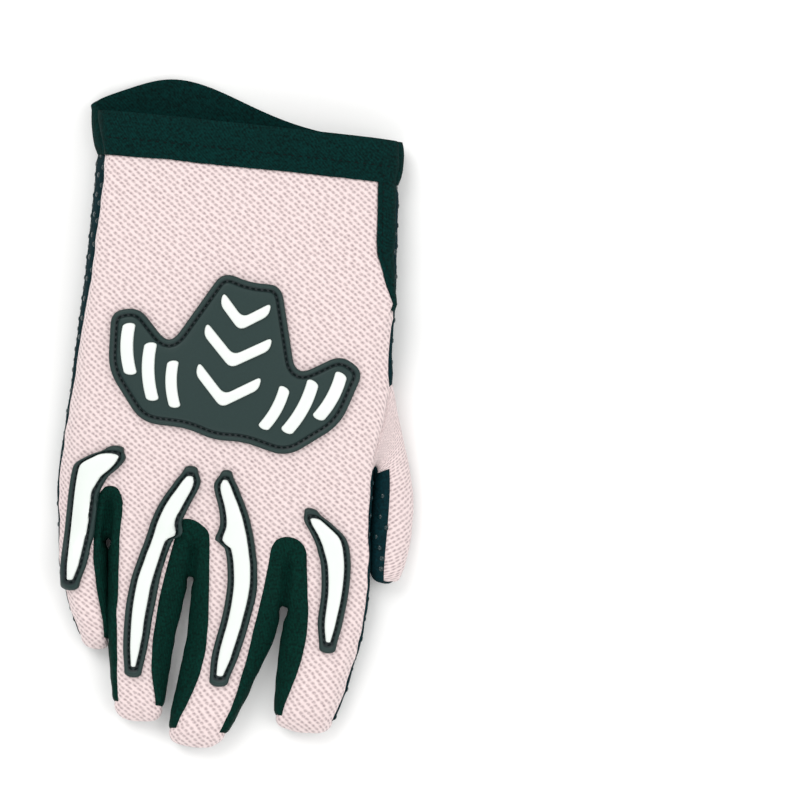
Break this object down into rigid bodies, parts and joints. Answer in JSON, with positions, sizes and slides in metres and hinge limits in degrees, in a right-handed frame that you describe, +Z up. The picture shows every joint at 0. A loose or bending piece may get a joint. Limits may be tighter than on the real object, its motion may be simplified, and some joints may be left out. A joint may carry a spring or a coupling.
{
  "type": "motocross glove",
  "caption": "Right-hand motocross glove lying palm down, knit back, leather palm, rubber knuckle plate and finger guards, open slit cuff.",
  "frame": {"origin": "middle of the bounding box at its base, on the surface that the palm rests on", "axes": "+Z up from the palm to the back of the hand, +Y from the fingertips to the cuff, +X towards the thumb"},
  "size_m": [0.1044, 0.192, 0.0212],
  "materials": {
    "pink_knit": "matte open air-mesh knit",
    "black_leather": "matte synthetic suede with small silicone dots",
    "black_stretch_knit": "matte fine stretch knit",
    "black_binding": "matte turned binding",
    "charcoal_rubber": "satin moulded rubber",
    "white_rubber": "satin moulded rubber"
  },
  "bodies": {
    "root": {"back": "pink_knit", "palm": "black_leather", "thumb_back": "pink_knit", "gusset_little_ring": "black_stretch_knit", "gusset_ring_middle": "black_stretch_knit", "gusset_middle_index": "black_stretch_knit", "cuff_back": "black_binding", "cuff_palm": "black_binding", "slit_binding": "black_binding", "knuckle_plate": "charcoal_rubber", "upper_chevron": "white_rubber", "middle_chevron": "white_rubber", "lower_chevron": "white_rubber", "outer_bar_little_side": "white_rubber", "outer_bar_thumb_side": "white_rubber", "middle_bar_little_side": "white_rubber", "middle_bar_thumb_side": "white_rubber", "inner_bar_little_side": "white_rubber", "inner_bar_thumb_side": "white_rubber", "little_guard": "charcoal_rubber", "ring_guard": "charcoal_rubber", "middle_guard": "charcoal_rubber", "index_guard": "charcoal_rubber", "little_guard_face": "white_rubber", "ring_guard_face": "white_rubber", "middle_guard_face": "white_rubber", "index_guard_face": "white_rubber"}
  },
  "joints": []
}
